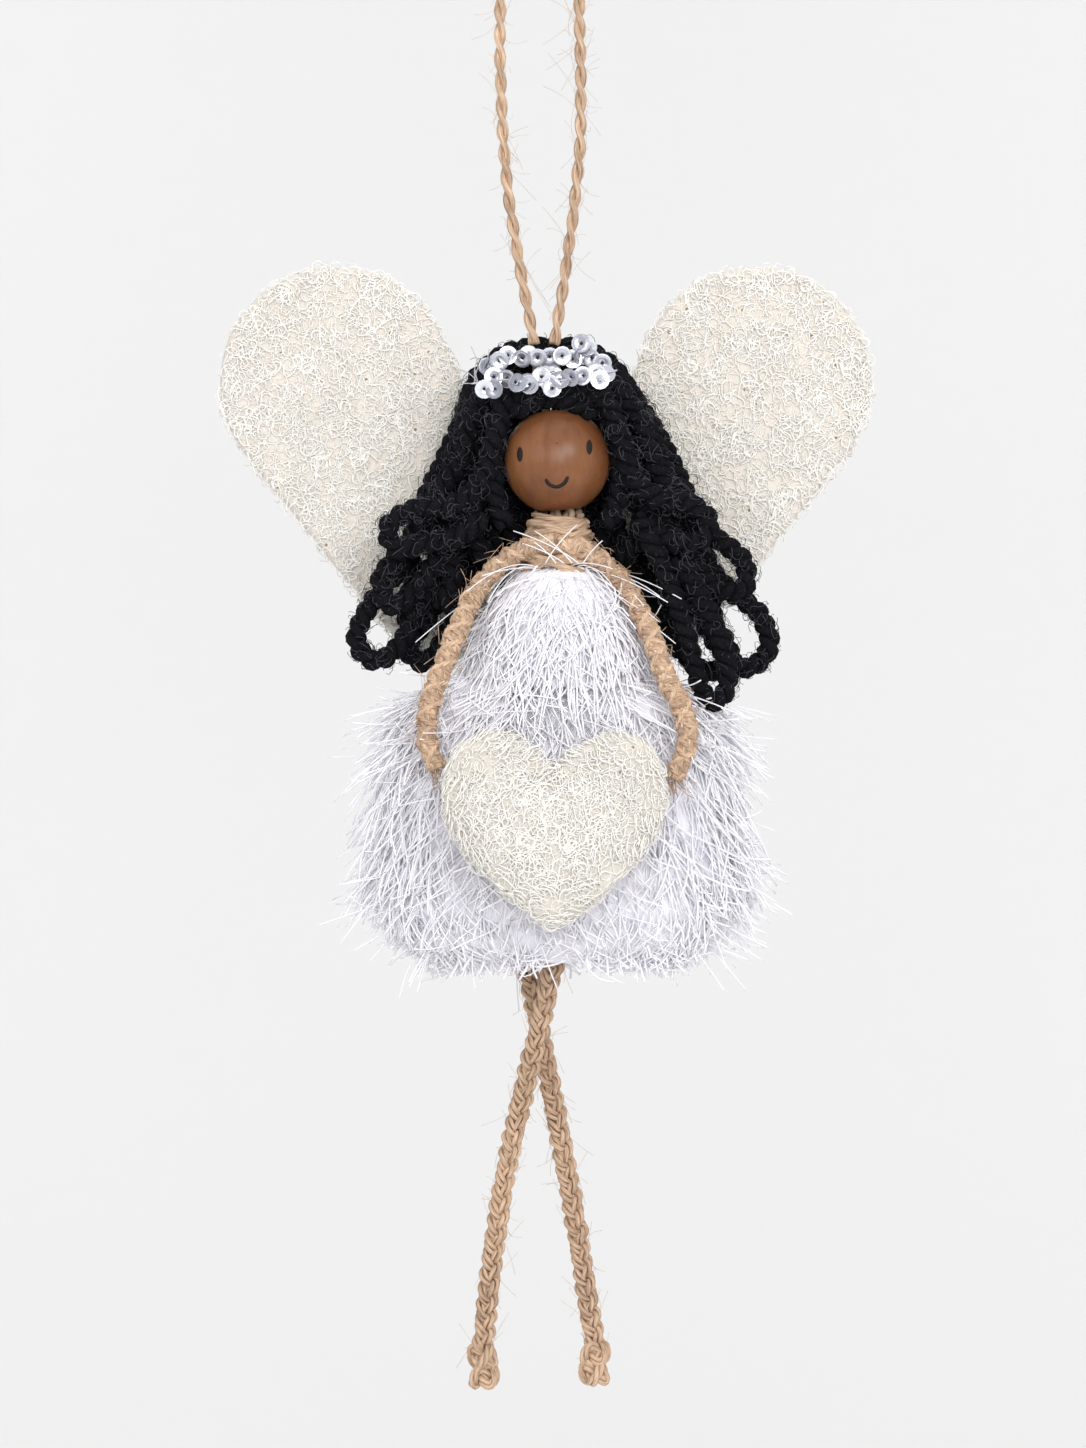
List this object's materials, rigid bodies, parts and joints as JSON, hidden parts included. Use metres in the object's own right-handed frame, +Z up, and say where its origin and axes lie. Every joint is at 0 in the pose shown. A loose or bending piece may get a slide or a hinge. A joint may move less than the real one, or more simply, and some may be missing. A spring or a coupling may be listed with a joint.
{
  "type": "angel ornament",
  "caption": "Hanging doll angel with a bead head, looped cord hair, wound twine arms holding a felt heart, fringe dress, felt wings and swinging knotted legs.",
  "frame": {"origin": "inside top of the hanging loop, where a hook or twig carries it", "axes": "+Z up along the hanging twine, -Y towards the viewer of the face, +X to that viewer's right"},
  "size_m": [0.0992, 0.0448, 0.2178],
  "materials": {
    "hanging_twine": "two-ply natural twine, matt and hairy",
    "stained_wood": "brown stain under a satin varnish",
    "hair_cord": "black velvety twisted chenille cord",
    "sequins": "silver cup sequins, glossy",
    "thin_twine": "thin natural twine, matt",
    "plain_wood": "bare wood",
    "fringe": "white glossy eyelash fringe",
    "wire": "soft craft wire",
    "felt": "cream looped wool felt, matt",
    "leg_twine": "braided natural twine, matt"
  },
  "bodies": {
    "hanger": {"hanging_loop": "hanging_twine"},
    "doll": {"hanger_tails": "hanging_twine", "head_bead": "stained_wood", "hair_left_1": "hair_cord", "hair_left_2": "hair_cord", "hair_left_3": "hair_cord", "hair_left_4": "hair_cord", "hair_left_5": "hair_cord", "hair_right_1": "hair_cord", "hair_right_2": "hair_cord", "hair_right_3": "hair_cord", "hair_right_4": "hair_cord", "hair_right_5": "hair_cord", "tiara_upper_string": "sequins", "tiara_lower_string": "sequins", "neck_winding": "thin_twine", "arm_winding_left": "thin_twine", "arm_winding_right": "thin_twine", "neck_core": "plain_wood", "spine_stick": "plain_wood", "hip_disc": "plain_wood", "dress_bodice": "fringe", "dress_skirt": "fringe", "arm_wire_left": "wire", "arm_wire_right": "wire", "felt_heart": "felt", "wing_left": "felt", "wing_right": "felt"},
    "front_leg": {"leg_front": "leg_twine", "foot_knot_front": "leg_twine"},
    "rear_leg": {"leg_rear": "leg_twine", "foot_knot_rear": "leg_twine"}
  },
  "joints": [
    {"name": "hang_swing", "type": "hinge", "parent": "hanger", "child": "doll", "pos_m": [0.00065, 0, -0.0591], "axis": [1, 0, 0], "range_deg": [-60, 60]},
    {"name": "front_leg_swing", "type": "hinge", "parent": "doll", "child": "front_leg", "pos_m": [0.0024, -0.0021, -0.1505], "axis": [-1, 0, 0], "range_deg": [0, 40]},
    {"name": "rear_leg_swing", "type": "hinge", "parent": "doll", "child": "rear_leg", "pos_m": [-0.0023, 0.0021, -0.1505], "axis": [1, 0, 0], "range_deg": [0, 40]}
  ]
}
